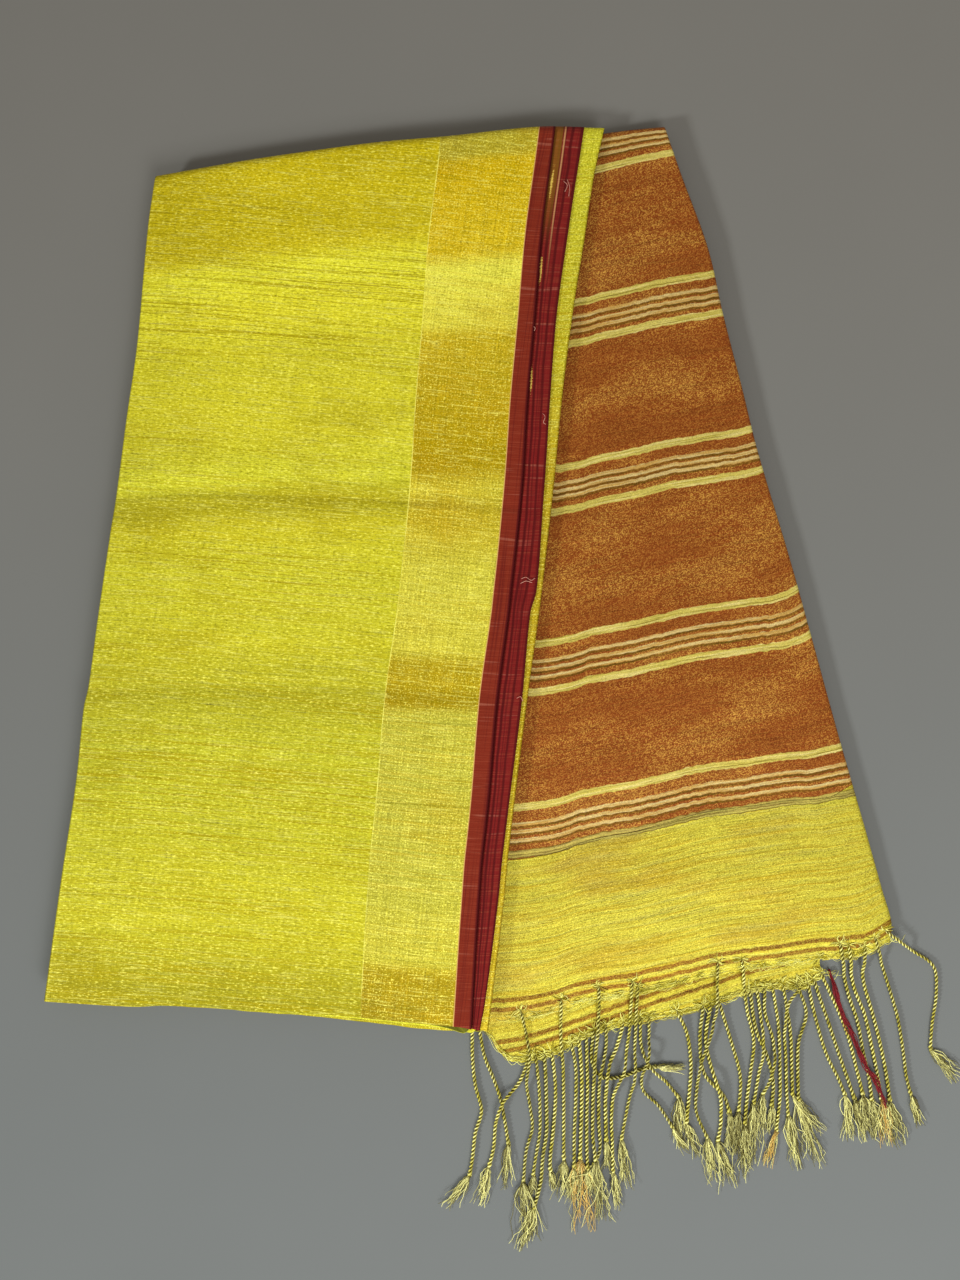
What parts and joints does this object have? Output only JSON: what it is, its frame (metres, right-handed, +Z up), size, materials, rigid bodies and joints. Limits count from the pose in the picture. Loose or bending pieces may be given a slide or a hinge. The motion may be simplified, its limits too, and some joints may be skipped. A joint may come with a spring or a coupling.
{
  "type": "folded saree",
  "caption": "Handwoven gold tissue saree lying folded flat, its red-edged border on top and its rust striped pallu with a knotted fringe fanned out at one side.",
  "frame": {"origin": "middle of the outline, fringe included, on the surface it lies on", "axes": "+X from the pack towards the pallu, +Y along the pack from the fringe towards the top fold, +Z up from the surface"},
  "size_m": [0.6056, 0.7478, 0.016],
  "materials": {
    "inner_tissue": "woven tissue seen at the folds, satin sheen",
    "gold_tissue": "shot gold and green tissue with slubs, metallic sheen",
    "border_gold": "plain zari border, metallic sheen",
    "red_selvedge": "dense dark red selvedge, matt",
    "rust_tissue": "shot rust and gold tissue with gold cross stripes, soft sheen",
    "plied_fringe": "twisted plied cords with brushed ends",
    "maroon_thread": "loose dyed warp threads, matt"
  },
  "bodies": {
    "root": {"hidden_folds": "inner_tissue", "body_field": "gold_tissue", "gold_border": "border_gold", "selvedge_top": "red_selvedge", "selvedge_under": "red_selvedge", "centre_fold": "gold_tissue", "pallu_folds": "inner_tissue", "pallu_field": "rust_tissue", "pallu_end_band": "gold_tissue", "pallu_lower_end": "gold_tissue", "fringe_lower": "plied_fringe", "fringe_upper": "plied_fringe", "loose_warp": "maroon_thread"}
  },
  "joints": []
}
